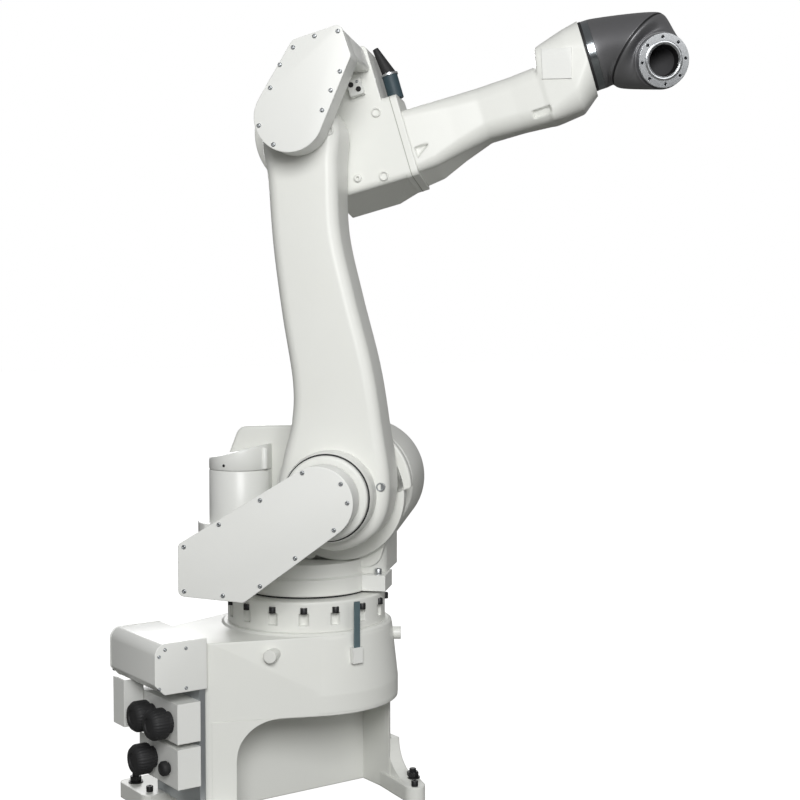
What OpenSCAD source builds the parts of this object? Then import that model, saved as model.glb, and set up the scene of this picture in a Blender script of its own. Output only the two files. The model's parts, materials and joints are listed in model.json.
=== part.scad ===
// Six-axis hollow-wrist robot arm on a cast pedestal. Millimetres, +Z up.
// The origin is on the floor under the first axis, and +X is the pedestal's front.

/* [Pose] */
// Turn of the turret on its pedestal
turret_turn = -45; // [-150:1:150]
// Backward lean of the lower arm
arm_lean = 5.1; // [-10:0.1:20]
// Upward pitch of the forearm
forearm_pitch = 16.5; // [0:0.5:30]
// Roll of the first wrist body about the forearm
wrist_roll = 164; // [0:0.1:360]
// Roll of the second wrist body about its slanted seam
seam_roll = -87; // [-180:0.1:180]

/* [Pedestal] */
// Height of the feet
foot_t = 35; // [25:1:50]
// Place of the front bolts, ahead of the first axis
bolt_front = 185; // [178:1:195]
// Bolt spacing along the pedestal
bolt_span_x = 548; // [530:1:560]
// Bolt spacing across the pedestal
bolt_span_y = 350; // [330:1:360]
// Foot bolt hole radius
foot_hole_r = 9; // [6:0.5:11]
// Radius of the drum at its foot
drum_r = 217; // [205:1:230]
// Radius of the drum at its shoulder
drum_top_r = 200; // [192:1:204]
// Height of the arch under the drum
arch_z = 230; // [200:1:250]
// Height of the drum's shoulder
drum_z = 412; // [380:1:425]
// Rear face of the pedestal, behind the first axis
panel_x = 327; // [320:1:340]
// Half width of the legs
leg_half_w = 108; // [100:1:115]
// Thickness of the middle web
web_t = 34; // [20:1:60]

/* [Turret] */
// Radius of the bolt ring under the turret
ring_r = 186; // [180:1:190]
// Height of the bolt ring's top
ring_z = 482; // [465:1:490]
// Count of ring bolts
ring_bolts = 16; // [8:2:24]
// Radius of the turret's foot band
band_r = 150; // [140:1:160]
// Height of the turret's foot band
band_h = 37; // [30:1:45]
// Forward offset of the second axis
shoulder_x = 107; // [95:1:120]
// Height of the second axis
shoulder_z = 729; // [715:1:745]
// Radius of the shoulder wall behind the lower arm
shoulder_wall_r = 152; // [145:1:165]
// Radius of the round shoulder housing
shoulder_r = 141; // [125:1:145]
// Outer end of the shoulder housing, across the arm
shoulder_end = 240; // [200:1:260]
// Radius of the upright motor cover
motor_r = 75; // [60:1:78]

/* [Lower arm] */
// Distance between the second and third axes
arm_len = 823; // [780:1:860]
// Thickness of the lower arm
arm_t = 150; // [120:1:155]
// Radius of the lower arm's hub
hub_r = 127; // [115:1:130]
// Radius of the lower arm's head
head_r = 82; // [75:1:84]
// Radius of the raised boss on the hub
boss_r = 97; // [85:1:105]

/* [Drive covers] */
// Thickness of the cover lids
lid_t = 8; // [4:1:12]
// Depth of the second axis drive cover
shoulder_cover_d = 67; // [50:1:80]
// Round end of the second axis drive cover
shoulder_cover_r = 78; // [70:1:90]
// Depth of the third axis drive cover
elbow_cover_d = 72; // [55:1:85]
// Round end of the third axis drive cover
elbow_cover_r = 76; // [70:1:90]

/* [Forearm and wrist] */
// Distance from the third axis to the wrist ring
forearm_len = 639; // [600:1:680]
// Drop of the wrist axis under the third axis
wrist_drop = 20; // [10:1:30]
// Sideways place of the wrist axis
wrist_y = 12; // [5:1:20]
// Width of the forearm
forearm_w = 134; // [120:1:150]
// Far side of the elbow casting, across the arm
elbow_far = 140; // [110:1:170]
// Radius of the elbow casting's round end
elbow_r = 140; // [125:1:150]
// Radius of the wrist ring
wrist_ring_r = 79; // [74:1:82]
// Angle between neighbouring wrist axes
wrist_skew = 53.7; // [50:0.1:58]
// Radius of the wrist's slanted seam
seam_r = 93; // [88:1:97]
// Wrist ring to the crossing of the fourth and fifth axes
crossing_a = 97; // [92:1:110]
// That crossing to the slanted seam
seam_a = 30; // [26:1:36]
// Seam to the crossing of the fifth and sixth axes
crossing_b = 45; // [43:1:52]
// That crossing to the face of the tool flange
flange_a = 52; // [51:1:62]
// Radius of the tool flange
flange_r = 59; // [57:1:66]
// Bore through the wrist, radius
bore_r = 35; // [30:0.5:38]
// Tool bolt circle diameter
tool_pcd = 102; // [92:1:110]
// Tool bolt hole radius
tool_hole_r = 3.5; // [2.5:0.25:4.5]

/* [Fits] */
// Gap between turning bodies
run_gap = 5; // [3:0.5:8]
// Face clearance at a bearing
bearing_gap = 0.3; // [0.2:0.05:0.5]

/* [Hidden] */
$fn = 64;
hull_fn = 32;

paint = "#e9e9e1";
paint_shade = "#d9d9cf";
graphite = "#4a4a4c";
steel = "#b9bdc0";
black = "#1c1c1e";

// Planes across the arm, near side first
arm_back = -60;
arm_front = arm_back - arm_t;
boss_h = 70;
boss_front = arm_front - boss_h;
cover_back = boss_front - run_gap;
shoulder_lid_back = cover_back - shoulder_cover_d;
elbow_cover_back = arm_front - 2 * run_gap;
elbow_lid_back = elbow_cover_back - elbow_cover_d;
wall_near = arm_back + run_gap;
housing_near = 45;
band_z = ring_z + run_gap;
elbow_near = wall_near;
bolt_x0 = bolt_front - bolt_span_x;
bolt_y = bolt_span_y / 2;

// Frames of the moving pieces

module turret_frame() rotate([0, 0, turret_turn]) children();

module shoulder_frame() turret_frame() translate([shoulder_x, 0, shoulder_z]) children();

module arm_frame() shoulder_frame() rotate([0, -arm_lean, 0]) children();

module forearm_frame()
    arm_frame() translate([0, 0, arm_len]) rotate([0, arm_lean - forearm_pitch, 0]) children();

module wrist_frame() forearm_frame() translate([forearm_len, wrist_y, -wrist_drop]) children();

module seam_frame()
    wrist_frame() rotate([wrist_roll, 0, 0]) translate([crossing_a, 0, 0])
        rotate([0, -wrist_skew, 0]) translate([seam_a, 0, 0]) children();

module flange_frame()
    seam_frame() rotate([seam_roll, 0, 0]) translate([crossing_b, 0, 0])
        rotate([0, -wrist_skew, 0]) translate([flange_a, 0, 0]) children();

// Shape helpers

// Extrudes a side outline (forward, up) across the arm from y0 to y1
module across(y0, y1) translate([0, y1, 0]) rotate([90, 0, 0]) linear_extrude(y1 - y0) children();

// Disc along X from x0 to x1
module disc_x(r, x0, x1) translate([x0, 0, 0]) rotate([0, 90, 0]) cylinder(r = r, h = x1 - x0);

// Disc along Y from y0 to y1
module disc_y(r, y0, y1) translate([0, y0, 0]) rotate([-90, 0, 0]) cylinder(r = r, h = y1 - y0);

// Straight-sided outline through round corners, each [x, y, radius]
module round_outline(corners)
    hull() for (c = corners) translate([c[0], c[1]]) circle(r = c[2], $fn = hull_fn);

// Rectangle from corner a to corner b with corners rounded by r
module round_rect(a, b, r) {
    translate([a[0], a[1] + r]) square([b[0] - a[0], b[1] - a[1] - 2 * r]);
    translate([a[0] + r, a[1]]) square([b[0] - a[0] - 2 * r, b[1] - a[1]]);
    for (x = [a[0] + r, b[0] - r], y = [a[1] + r, b[1] - r]) translate([x, y]) circle(r = r);
}

// Point on a closed smooth curve through the points p, at segment i and part t
function spline(p, i, t) =
    let (n = len(p), a = p[(i + n - 1) % n], b = p[i], c = p[(i + 1) % n], d = p[(i + 2) % n])
    0.5 * (2 * b + (c - a) * t + (2 * a - 5 * b + 4 * c - d) * t * t
        + (3 * b - a - 3 * c + d) * t * t * t);

function smooth(p, steps) = [for (i = [0 : len(p) - 1], k = [0 : steps - 1]) spline(p, i, k / steps)];

// Moves each point of an anticlockwise outline inwards by d
function inset(p, d) = let (n = len(p)) [for (i = [0 : n - 1])
    let (t = p[(i + 1) % n] - p[(i + n - 1) % n], l = norm(t)) p[i] + d * [-t[1], t[0]] / l];

// Closed solid over rings of points that all have the same count
module skin(rings) {
    n = len(rings[0]);
    m = len(rings);
    sides = [for (j = [0 : m - 2], i = [0 : n - 1])
        [j * n + i, j * n + (i + 1) % n, (j + 1) * n + (i + 1) % n, (j + 1) * n + i]];
    ends = [[for (i = [n - 1 : -1 : 0]) i], [for (i = [0 : n - 1]) (m - 1) * n + i]];
    polyhedron([for (r = rings, q = r) q], concat(sides, ends), convexity = 6);
}

// Slab of a side outline (forward, up) from y0 to y1 with edges rounded by r
module pillow(p, y0, y1, r, steps = 4) {
    near = [for (k = [0 : steps]) let (a = 90 * k / steps) [y0 + r * (1 - cos(a)), r * (1 - sin(a))]];
    far = [for (k = [steps : -1 : 0]) let (a = 90 * k / steps) [y1 - r * (1 - cos(a)), r * (1 - sin(a))]];
    skin([for (s = concat(near, far)) [for (q = inset(p, s[1])) [q[0], s[0], q[1]]]]);
}

// Ring of a rounded rectangle at x, from bottom z0 to top z1, half width w, corner radius r; its far
// bottom corner lies lower by drop
function section(x, y, z0, z1, w, r, drop = 0, steps = 6) = [for (c = [0 : 3], k = [0 : steps])
    let (a = -90 * (c + k / steps), sy = (c == 0 || c == 3) ? 1 : -1, sz = c < 2 ? -1 : 1)
    [x, y + sy * (w - r) + r * cos(a), (sz > 0 ? z1 - r : z0 - (sy > 0 ? drop : 0) + r) + r * sin(a)]];

// Pedestal

arch_front = 150;
arch_rear = 262;
arch_round = 90;
arch_front_round = 40;
leg_round = 24;
gusset_t = 34;
gusset_h = 85;
gusset_w = 80;
rear_top = drum_z - 5;
drum_foot = arch_z + 45;
drum_proud = 0.6;
core_fn = 128;

// Radius of the drum's slope at height z
function drum_at(z) = drum_r + (drum_top_r + 3 - drum_r) * (z - drum_foot) / (drum_z - 12 - drum_foot);

module foot_holes(r)
    for (x = [bolt_x0, bolt_front], y = [-1, 1] * bolt_y)
        translate([x, y, -1]) cylinder(r = r, h = foot_t + 2);

module arch_outline() {
    round_outline([
        [-arch_rear + arch_round, arch_z - arch_round, arch_round],
        [arch_front - arch_front_round, arch_z - arch_front_round, arch_front_round],
        [-arch_rear + 1, -9, 1], [arch_front - 1, -9, 1]]);
}

// Plan of the pedestal: its rear corners joined to the drum by tangent walls
module pedestal_plan() round_outline([[0, 0, drum_top_r - 1],
    [-panel_x + leg_round, leg_half_w - leg_round, leg_round],
    [-panel_x + leg_round, leg_round - leg_half_w, leg_round]]);

// Rear block drawn tangent to the drum, which stands proud of it by a hair
module pedestal_body() hull() {
    drum_core();
    for (s = [-1, 1]) translate([-panel_x + leg_round, s * (leg_half_w - leg_round), arch_z])
        cylinder(r = leg_round, h = rear_top - arch_z, $fn = hull_fn);
}

module drum_core() {
    translate([0, 0, arch_z]) cylinder(r = drum_r - drum_proud, h = drum_foot - arch_z, $fn = core_fn);
    translate([0, 0, drum_foot]) cylinder(r1 = drum_r - drum_proud, r2 = drum_at(rear_top) - drum_proud,
        h = rear_top - drum_foot, $fn = core_fn);
}

// Hollow-backed gusset that carries a leg's side out to its foot
module gusset(x, y) translate([x + gusset_t / 2, y, foot_t - 1]) rotate([90, 0, -90])
    linear_extrude(gusset_t) polygon(concat([[40, 0]], [for (t = [0 : 10 : 90])
        [-gusset_w * (1 - sin(t)), gusset_h * (1 - cos(t))]], [[40, gusset_h]]));

module drum() rotate_extrude() polygon([
    [0, arch_z], [drum_r - 4, arch_z], [drum_r, arch_z + 6], [drum_r, drum_foot],
    [drum_top_r + 3, drum_z - 12], [drum_top_r, drum_z - 4], [drum_top_r - 5, drum_z], [0, drum_z]]);

module base_casting() color(paint) difference() {
    union() {
        drum();
        difference() {
            union() {
                linear_extrude(arch_z + 1) pedestal_plan();
                pedestal_body();
            }
            for (s = [-1, 1]) translate([0, s * (web_t / 2 + drum_r), 0])
                across(-drum_r, drum_r) arch_outline();
        }
        for (s = [-1, 1]) {
            linear_extrude(foot_t) round_outline([[arch_front + 20, s * (bolt_y - 85), 20],
                [bolt_front - 12, s * (bolt_y - 15), 30], [bolt_front - 28, s * (bolt_y + 45), 25],
                [arch_front + 5, s * (bolt_y + 35), 20]]);
            mirror([0, s > 0 ? 0 : 1, 0]) {
                linear_extrude(foot_t)
                    round_rect([bolt_x0 - 30, bolt_y - 110], [-arch_rear - 2, bolt_y + 35], 20);
                gusset(arch_front + gusset_t / 2 + 2, 118);
            }
        }
    }
    foot_holes(foot_hole_r);
}

pocket_r = 11;
pocket_z = 16;
pocket_h = 28;

module bolt_ring() color(paint) translate([0, 0, drum_z]) difference() {
    rotate_extrude() polygon([[110, 0], [ring_r, 0], [ring_r, ring_z - drum_z - 3],
        [ring_r - 3, ring_z - drum_z], [110, ring_z - drum_z]]);
    for (i = [0 : ring_bolts - 1]) rotate([0, 0, 360 * (i + 0.5) / ring_bolts])
        translate([ring_r, 0, pocket_z]) cylinder(r = pocket_r, h = pocket_h);
}

module turret_seal() color(black) difference() {
    translate([0, 0, ring_z]) cylinder(r = band_r - 6, h = run_gap - bearing_gap);
    translate([0, 0, ring_z - 1]) cylinder(r = 112, h = run_gap + 2);
}

// Rear service box and connectors

box_len = 222;
box_w = 125;
box_z0 = 311;
box_z1 = 423;
plate_t = 4;

module box_outline() round_outline([[-panel_x - box_w + 26, box_z1 - 26, 26],
    [-panel_x - box_w + 8, box_z0 + 26, 8], [-panel_x - box_w + 26, box_z0 + 8, 8],
    [-panel_x - 2, box_z0 + 2, 2], [-panel_x - 2, box_z1 - 2, 2]]);

module rear_box() color(paint_shade) across(-box_len / 2, box_len / 2) box_outline();

module rear_box_ends() color(paint) for (s = [-1, 1])
    translate([0, s * (box_len + plate_t) / 2, 0]) across(-plate_t / 2, plate_t / 2) box_outline();

bracket_drop = 105;
bracket_w = 56;
bracket_d = 48;
panel_w = 210;
panel_t = 14;

module cable_bracket() color(paint_shade)
    translate([-panel_x - box_w + 6, box_len / 2 - bracket_w, box_z0 - bracket_drop]) {
        cube([plate_t, bracket_w, bracket_drop]);
        cube([bracket_d, plate_t, bracket_drop]);
    }

module connector_panel() color(steel)
    translate([-panel_x - panel_t, -panel_w / 2, foot_t]) cube([panel_t, panel_w, box_z0 - foot_t]);

connector_d = 56;
connector_h = 88;
upper_z = 196;
lower_z = 96;

module connector_box(z) color(paint) translate([-panel_x - panel_t - connector_d, -110, z])
    cube([connector_d, 190, connector_h]);

module upper_connector_box() connector_box(upper_z);

module lower_connector_box() connector_box(lower_z);

// Round cable plug on the connector box's rear face
module plug_cap(y, z, r, h) translate([-panel_x - panel_t - connector_d, y, z]) rotate([0, -90, 0])
    rotate_extrude() polygon([[0, 0], [r * 0.7, 0], [r * 0.7, h * 0.2], [r, h * 0.25], [r, h * 0.8],
        [r * 0.8, h], [0, h]]);

module upper_connector_caps() color(black) {
    plug_cap(-70, upper_z + 42, 34, 52);
    plug_cap(12, upper_z + 42, 34, 52);
}

module lower_connector_caps() color(black) {
    plug_cap(10, lower_z + 46, 34, 52);
    plug_cap(-66, lower_z + 40, 16, 20);
}

// Zero mark and plug bosses on the drum

mark_turn = -90;
mark_r = drum_at(drum_z - 52);
mark_w = 14;
mark_z = drum_z - 34;
mark_block_h = 36;

module mark_strip() color("#5d6d78") rotate([0, 0, mark_turn])
    translate([mark_r + 5, -mark_w / 2, mark_z]) cube([5, mark_w, ring_z - mark_z]);

module mark_block() color(paint) rotate([0, 0, mark_turn]) difference() {
    translate([mark_r - 25, -13, mark_z - mark_block_h]) cube([38, 26, mark_block_h]);
    drum($fn = 256);
}

plug_z = drum_z - 38;
plug_r = 15;

// Each plug [angle, outer end]: the front pair is on the drum, the rear pair on the tangent walls
module drum_bosses() color(paint) for (t = [[-35, 0], [35, 0], [-140, 38], [140, 38]]) rotate([0, 0, t[0]])
    difference() {
        translate([0, 0, plug_z]) disc_x(plug_r, drum_top_r - 30, drum_at(plug_z) + 18 + t[1]);
        drum($fn = 256);
        rotate([0, 0, -t[0]]) pedestal_body();
    }

// Turret

column_h = 150;
shelf_t = 34;
rim_t = 32;
wing_x = 180;
wing_len = 140;
wing_h = 88;
rim_back = 15;
rim_drop = 18;
motor_flange_r = motor_r + 20;
motor_flange_z = 676;
motor_flange_t = 26;
lobe_r = 17;
motor_x = -167;
motor_y = 25;
motor_z = band_z + band_h + shelf_t;
motor_h = 762 - motor_z;

module turret_casting() color(paint) turret_frame() union() {
    translate([0, 0, band_z]) rotate_extrude() polygon([[0, 0], [band_r, 0], [band_r, band_h],
        [band_r - 10, band_h + 3], [band_r - 14, band_h + shelf_t], [0, band_h + shelf_t]]);
    difference() {
        translate([0, 0, band_z + band_h]) linear_extrude(column_h)
            round_rect([-85, wall_near + rim_t], [192, 190], 40);
        translate([shoulder_x, 0, shoulder_z]) across(housing_near, 2 * shoulder_end) housing_outline();
    }
    translate([0, 0, band_z + band_h]) linear_extrude(shelf_t)
        round_rect([motor_x - motor_r, motor_y - motor_r], [0, housing_near], 30);
    translate([shoulder_x, 0, shoulder_z]) {
        translate([-rim_back, 0, -rim_drop]) {
            disc_y(shoulder_wall_r, wall_near, wall_near + rim_t);
            rotate([0, 28, 0]) translate([0, 0, -shoulder_wall_r])
                disc_y(lobe_r, wall_near, wall_near + rim_t);
        }
        across(wall_near + rim_t - 1, housing_near) round_outline([[0, 0, shoulder_wall_r - 32],
            [-shoulder_x - 20, -140, 50], [40, -150, 40]]);
    }
    translate([shoulder_x, 0, shoulder_z]) disc_y(hub_r - 27, arm_back + bearing_gap, wall_near + 1);
    translate([-wing_x, cover_back, band_z + band_h + 6]) {
        cube([wing_len, wall_near - cover_back, wing_h]);
        cube([wing_len - 20, motor_y - motor_r + 10 - cover_back, shelf_t - 8]);
    }
}

module housing_outline() round_outline([[0, 0, shoulder_r], [-262, 102, 32], [-300, 20, 26], [-290, -90, 26],
    [40, -150, 20]]);

module shoulder_housing() color(paint) shoulder_frame() across(housing_near, shoulder_end) housing_outline();

module motor_cover() color(paint) turret_frame() translate([motor_x, motor_y, motor_z]) intersection() {
    union() {
        cylinder(r = motor_r, h = motor_h);
        translate([0, 0, motor_flange_z - motor_z - motor_flange_t])
            cylinder(r = motor_flange_r, h = motor_flange_t);
    }
    translate([-motor_flange_r, wall_near + 2 - motor_y, 0])
        cube([motor_flange_r + motor_r - 2, housing_near - wall_near - 2, motor_h]);
}

module motor_cap() color(paint) turret_frame() translate([motor_x, motor_y, motor_z + motor_h])
    intersection() {
        cylinder(r = motor_r, h = 60);
        across(-motor_r, housing_near - motor_y) polygon([[-80, 0], [73, 0], [73, 44], [-80, 24]]);
    }

module shoulder_cover_outline() round_outline([[0, 0, shoulder_cover_r], [-292, -103, 14],
    [-292, -194, 14], [-165, -203, 14]]);

module shoulder_drive_box() color(paint) shoulder_frame()
    across(shoulder_lid_back, cover_back) shoulder_cover_outline();

module shoulder_drive_lid() color(paint) shoulder_frame()
    across(shoulder_lid_back - lid_t, shoulder_lid_back) shoulder_cover_outline();

module stop_block() color(paint) turret_frame() difference() {
    translate([120, -46, band_z]) cube([78, 92, band_h]);
    translate([0, 0, band_z - 1]) cylinder(r = band_r, h = band_h + 2);
}

// Lower arm

// Bow-shaped outline of the lower arm, anticlockwise from the hub's underside
arm_outline = smooth([
    [0, -hub_r], [90, -90], [hub_r, 0], [122, 150], [112, 280], [86, 440], [68, 580], [75, 720],
    [head_r, arm_len], [0, arm_len + head_r], [-head_r, arm_len], [-84, 700], [-86, 560], [-80, 410],
    [-70, 260], [-80, 170], [-110, 80], [-hub_r, 0], [-90, -90]], 6);
arm_edge_r = 26;
boss_step = 54;

module lower_arm() color(paint) arm_frame() pillow(arm_outline, arm_front, arm_back, arm_edge_r);

module hub_boss() color(paint) arm_frame() translate([0, arm_front, 0]) rotate([90, 0, 0])
    rotate_extrude() polygon([[0, 0], [hub_r - arm_edge_r, 0], [hub_r - arm_edge_r, boss_step - 14],
        [boss_r, boss_step], [boss_r - 4, boss_step], [boss_r - 4, boss_h - 4], [boss_r - 8, boss_h],
        [0, boss_h]]);

// Elbow and forearm

module elbow_cover_outline()
    round_outline([[0, 0, elbow_cover_r], [62, 132, 20], [150, 138, 14], [156, 84, 10]]);

module elbow_drive_box() color(paint) forearm_frame() union() {
    across(elbow_lid_back, elbow_cover_back) elbow_cover_outline();
    across(elbow_cover_back, elbow_near)
        round_outline([[70, 128, 18], [150, 138, 14], [156, 100, 10]]);
}

module elbow_drive_lid() color(paint) forearm_frame()
    across(elbow_lid_back - lid_t, elbow_lid_back) elbow_cover_outline();

elbow_front = 178;
elbow_flange = elbow_front + 27;
elbow_half = (elbow_far - elbow_near) / 2;
elbow_drop = 30;
cover_plate_t = 2.5;
belly_drop = 24;

module elbow_casting() color(paint) forearm_frame() union() {
    disc_y(elbow_r, elbow_near, elbow_far);
    disc_y(head_r - 27, arm_back + bearing_gap, elbow_near + 1);
    skin([for (s = [[0, -163, 60, elbow_half, elbow_drop], [120, -165, 40, elbow_half, elbow_drop],
        [elbow_front, -166, 25, forearm_w / 2 + 2, belly_drop]])
        section(s[0], elbow_near + s[3], s[1], s[2], s[3], 14, s[4])]);
    across(elbow_near, elbow_far) round_outline([[20, 100, 40], [160, 141, 10], [164, 0, 6], [0, 0, 30]]);
    translate([0, wrist_y, 0]) skin([for (s = [[elbow_front - 1, 0], [elbow_flange, 0]])
        section(s[0], 0, -167, 25, forearm_w / 2, 14, belly_drop)]);
}

module terminal_box() color(paint) forearm_frame() translate([107, elbow_near - 22, 44])
    cube([32, 22, 36]);

// Forearm cross-sections [part of the way, bottom, top, half width, corner radius, far drop]
forearm_sections = [
    [0, -160, -14, -3, 20, 24], [0.1, -158, -14, -5, 24, 22], [0.24, -146, -14, -8, 32, 12],
    [0.4, -134, -14, -10, 38, 3], [0.58, -138, -14, -5, 38, 0], [0.735, -142, -12, 2, 34, 0],
    [0.747, -142, 25, 4, 24, 0], [0.79, -142, 33, 6, 34, 0], [0.91, -138, 50, 12, 52, 0],
    [1, -110, 62, 15, 78, 0]];

function forearm_x(t) = elbow_flange + t * (forearm_len - elbow_flange);

module forearm_skin(grow) translate([0, wrist_y, 0]) skin([for (s = forearm_sections)
    section(forearm_x(s[0]), 0, s[1], s[2], forearm_w / 2 + s[3] + grow, s[4], s[5])]);

module forearm() color(paint) forearm_frame() difference() {
    forearm_skin(0);
    translate([0, wrist_y, -wrist_drop]) disc_x(bore_r + 2, forearm_x(0.72), forearm_len + 5);
}

module forearm_cover() color(paint) forearm_frame() difference() {
    intersection() {
        translate([forearm_len, 0, 0]) across(wrist_y - 2 * wrist_ring_r, wrist_y - 40)
            polygon([[-92, 16], [-27, -4], [-46, -69], [-108, -49]]);
        forearm_skin(cover_plate_t);
    }
    forearm_skin(0);
}

hose_a = 196;
hose_foot = 25;
clamp_z = 80;
clamp_t = 5;

module hose_boot() color(black) forearm_frame()
    translate([hose_a, wrist_y, clamp_z + clamp_t]) difference() {
        rotate([0, -13, 0]) translate([0, 0, -8]) cylinder(r1 = 17, r2 = 7, h = 74);
        translate([-50, -50, -50]) cube([100, 100, 50]);
    }

module hose_clamp() color(steel) forearm_frame() translate([hose_a, wrist_y, clamp_z])
    cylinder(r = 20, h = clamp_t);

module hose_sleeve() color("#2a3c4a") forearm_frame() translate([hose_a, wrist_y, hose_foot])
    cylinder(r = 18, h = clamp_z - hose_foot);

// Hollow slanted wrist

ring_len = 22;

module wrist_ring() color(steel) wrist_frame() difference() {
    disc_x(wrist_ring_r, bearing_gap, ring_len);
    disc_x(bore_r, -1, ring_len + 1);
}

module wrist_body_1() color(graphite) difference() {
    hull() {
        wrist_frame() disc_x(wrist_ring_r, ring_len, ring_len + 4, $fn = hull_fn);
        seam_frame() disc_x(seam_r, -8, -2.5, $fn = hull_fn);
    }
    wrist_frame() disc_x(bore_r, ring_len - 1, crossing_a);
    seam_frame() disc_x(bore_r, -seam_a - 40, 1);
}

module wrist_body_2() color(graphite) difference() {
    union() {
        hull() {
            seam_frame() disc_x(seam_r, 2.5, 8, $fn = hull_fn);
            flange_frame() disc_x(flange_r + 4, -22, -15, $fn = hull_fn);
        }
        seam_frame() disc_x(seam_r - 12, bearing_gap - 2.5, 4);
    }
    seam_frame() disc_x(bore_r, -5, crossing_b);
    flange_frame() disc_x(bore_r + 1, -50, 1);
    flange_frame() disc_x(flange_r + run_gap, -16, 2 * flange_a);
}

module tool_flange() color(steel) flange_frame() difference() {
    union() {
        disc_x(flange_r, -10, 0);
        disc_x(flange_r - 3, bearing_gap - 16, -9);
    }
    disc_x(bore_r, -20, 1);
    for (i = [0 : 7]) rotate([45 * i, 0, 0]) translate([0, 0, tool_pcd / 2]) disc_x(tool_hole_r, -20, 1);
}

base_casting();
bolt_ring();
turret_seal();
rear_box();
rear_box_ends();
cable_bracket();
connector_panel();
upper_connector_box();
lower_connector_box();
upper_connector_caps();
lower_connector_caps();
mark_strip();
mark_block();
drum_bosses();
turret_casting();
shoulder_housing();
motor_cover();
motor_cap();
shoulder_drive_box();
shoulder_drive_lid();
stop_block();
lower_arm();
hub_boss();
elbow_drive_box();
elbow_drive_lid();
elbow_casting();
terminal_box();
forearm();
forearm_cover();
hose_boot();
hose_clamp();
hose_sleeve();
wrist_ring();
wrist_body_1();
wrist_body_2();
tool_flange();
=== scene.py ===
"""Looks of a six-axis hollow-wrist robot arm: enamelled castings, a hard-coated wrist, a steel
flange and fasteners. Lengths are in millimetres, in the frames of the arm's own joints."""

import json
from math import pi, radians

import bpy
import numpy as np
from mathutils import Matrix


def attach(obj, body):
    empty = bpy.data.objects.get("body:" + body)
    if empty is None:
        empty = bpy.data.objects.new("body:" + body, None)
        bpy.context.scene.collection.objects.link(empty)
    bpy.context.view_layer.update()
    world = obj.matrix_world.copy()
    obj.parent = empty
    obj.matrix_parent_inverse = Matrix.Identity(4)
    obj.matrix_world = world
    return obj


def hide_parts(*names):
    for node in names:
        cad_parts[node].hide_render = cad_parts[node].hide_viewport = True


MM = 0.001

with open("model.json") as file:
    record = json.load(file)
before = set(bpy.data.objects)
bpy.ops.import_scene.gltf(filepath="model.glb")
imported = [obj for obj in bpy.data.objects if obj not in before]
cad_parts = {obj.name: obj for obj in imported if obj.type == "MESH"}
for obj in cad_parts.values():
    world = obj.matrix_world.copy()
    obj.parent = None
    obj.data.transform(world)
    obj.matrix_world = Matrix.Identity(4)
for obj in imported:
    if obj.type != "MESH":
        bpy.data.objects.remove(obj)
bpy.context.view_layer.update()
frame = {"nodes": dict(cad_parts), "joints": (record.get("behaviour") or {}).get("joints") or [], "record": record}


# Frames of the arm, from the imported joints


def unit(v):
    """The vector of length 1 along v."""
    v = np.asarray(v, float)
    return v / np.linalg.norm(v)


joints = {j["name"]: j for j in frame["joints"]}
place = {name: np.array(j["pos_m"]) for name, j in joints.items()}
axis = {name: unit(j["axis"]) for name, j in joints.items()}
LEFT = axis["arm_swing"]
UP = np.array([0.0, 0.0, 1.0])


def frame_of(origin, forward, left):
    """4 x 4 matrix that takes millimetre points to metres: its columns are forward, left,
    forward x left and the origin."""
    m = np.eye(4)
    m[:3, 0], m[:3, 1], m[:3, 2], m[:3, 3] = forward, left, np.cross(forward, left), origin
    m[:3, :3] *= MM
    return m


def across_axis(a):
    """The level direction square to a."""
    return unit(np.cross(UP, a))


ARM_UP = unit(place["elbow"] - place["arm_swing"])
BASE = frame_of(np.zeros(3), np.array([1.0, 0, 0]), np.array([0, 1.0, 0]))
TURRET = frame_of(np.zeros(3), np.cross(LEFT, UP), LEFT)
SHOULDER = frame_of(place["arm_swing"], np.cross(LEFT, UP), LEFT)
ARM = frame_of(place["arm_swing"], np.cross(LEFT, ARM_UP), LEFT)
FOREARM = frame_of(place["elbow"], axis["wrist_roll"], LEFT)
WRIST = frame_of(place["wrist_roll"], axis["wrist_roll"], LEFT)
SEAM = frame_of(place["wrist_bend"], axis["wrist_bend"], across_axis(axis["wrist_bend"]))
FLANGE = frame_of(place["tool_turn"], axis["tool_turn"], across_axis(axis["tool_turn"]))


def put(points, where):
    """Millimetre points of a local frame as metre points of the shared frame."""
    return points @ where[:3, :3].T + where[:3, 3]


# Materials


def linear(code):
    """An sRGB hex colour as linear RGBA."""
    c = np.array([int(code[i : i + 2], 16) for i in (1, 3, 5)]) / 255
    c = np.where(c <= 0.04045, c / 12.92, ((c + 0.055) / 1.055) ** 2.4)
    return (*c, 1.0)


def node(tree, kind, settings=None, inputs=None):
    """Adds a node of a kind with its settings. An input given as a socket is linked, any other
    value is set."""
    n = tree.nodes.new("ShaderNode" + kind)
    for key, value in (settings or {}).items():
        setattr(n, key, value)
    for key, value in (inputs or {}).items():
        if isinstance(value, bpy.types.NodeSocket):
            tree.links.new(value, n.inputs[key])
        else:
            n.inputs[key].default_value = value
    return n


def per_metre(size_mm):
    """Texture scale whose features are about size_mm across."""
    return 1000 / size_mm


GLOSS_SPREAD = 0.05


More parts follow.
